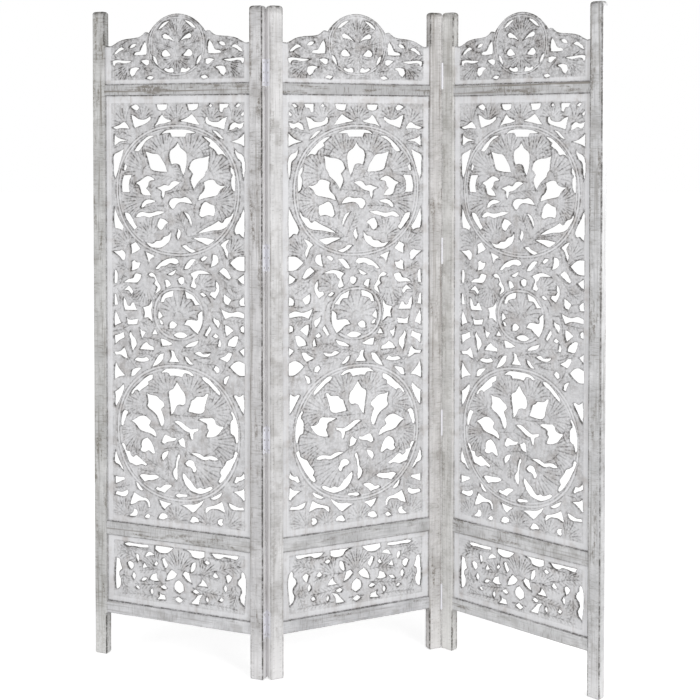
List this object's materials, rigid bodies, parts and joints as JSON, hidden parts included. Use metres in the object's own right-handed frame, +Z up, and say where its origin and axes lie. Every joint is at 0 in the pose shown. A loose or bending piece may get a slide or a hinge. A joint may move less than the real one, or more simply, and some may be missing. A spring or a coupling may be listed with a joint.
{
  "type": "carved folding screen",
  "caption": "Folding room screen of carved and pierced wooden leaves with arched crests, whitewashed, hinged edge to edge to stand in a zigzag.",
  "frame": {"origin": "middle of the outline on the floor, in the resting zigzag", "axes": "+Z up, -Y toward the viewer in front, +X to the viewer's right"},
  "size_m": [1.3986, 0.3882, 1.83],
  "materials": {
    "frame_wood": "whitewash, rubbed through to brown along edges",
    "carved_wood": "thin cool whitewash, grey in the cut lines",
    "hinge_steel": "brushed over with the whitewash",
    "screw_steel": "brushed over with the whitewash"
  },
  "bodies": {
    "left_leaf": {"left_left_stile": "frame_wood", "left_right_stile": "frame_wood", "left_top_rail": "frame_wood", "left_middle_rail": "frame_wood", "left_bottom_rail": "frame_wood", "left_crest_board": "carved_wood", "left_main_board": "carved_wood", "left_lower_board": "carved_wood", "left_joint_hinge_1_plate_on_left_leaf": "hinge_steel", "left_joint_hinge_1_pin": "hinge_steel", "left_joint_hinge_2_plate_on_left_leaf": "hinge_steel", "left_joint_hinge_2_pin": "hinge_steel", "left_joint_hinge_3_plate_on_left_leaf": "hinge_steel", "left_joint_hinge_3_pin": "hinge_steel", "left_joint_hinge_4_plate_on_left_leaf": "hinge_steel", "left_joint_hinge_4_pin": "hinge_steel", "left_joint_screws_in_left_leaf": "screw_steel"},
    "centre_leaf": {"centre_left_stile": "frame_wood", "centre_right_stile": "frame_wood", "centre_top_rail": "frame_wood", "centre_middle_rail": "frame_wood", "centre_bottom_rail": "frame_wood", "centre_crest_board": "carved_wood", "centre_main_board": "carved_wood", "centre_lower_board": "carved_wood", "left_joint_hinge_1_plate_on_centre_leaf": "hinge_steel", "left_joint_hinge_2_plate_on_centre_leaf": "hinge_steel", "left_joint_hinge_3_plate_on_centre_leaf": "hinge_steel", "left_joint_hinge_4_plate_on_centre_leaf": "hinge_steel", "left_joint_screws_in_centre_leaf": "screw_steel", "right_joint_hinge_1_plate_on_centre_leaf": "hinge_steel", "right_joint_hinge_1_pin": "hinge_steel", "right_joint_hinge_2_plate_on_centre_leaf": "hinge_steel", "right_joint_hinge_2_pin": "hinge_steel", "right_joint_hinge_3_plate_on_centre_leaf": "hinge_steel", "right_joint_hinge_3_pin": "hinge_steel", "right_joint_hinge_4_plate_on_centre_leaf": "hinge_steel", "right_joint_hinge_4_pin": "hinge_steel", "right_joint_screws_in_centre_leaf": "screw_steel"},
    "right_leaf": {"right_left_stile": "frame_wood", "right_right_stile": "frame_wood", "right_top_rail": "frame_wood", "right_middle_rail": "frame_wood", "right_bottom_rail": "frame_wood", "right_crest_board": "carved_wood", "right_main_board": "carved_wood", "right_lower_board": "carved_wood", "right_joint_hinge_1_plate_on_right_leaf": "hinge_steel", "right_joint_hinge_2_plate_on_right_leaf": "hinge_steel", "right_joint_hinge_3_plate_on_right_leaf": "hinge_steel", "right_joint_hinge_4_plate_on_right_leaf": "hinge_steel", "right_joint_screws_in_right_leaf": "screw_steel"}
  },
  "joints": [
    {"name": "left_leaf_fold", "type": "hinge", "parent": "centre_leaf", "child": "left_leaf", "pos_m": [-0.19668, -0.04185, 0.9], "axis": [0, 0, 1], "range_deg": [-131.2, 48.8]},
    {"name": "right_leaf_fold", "type": "hinge", "parent": "centre_leaf", "child": "right_leaf", "pos_m": [0.29357, 0.17144, 0.9], "axis": [0, 0, 1], "range_deg": [-110.4, 69.6]}
  ]
}
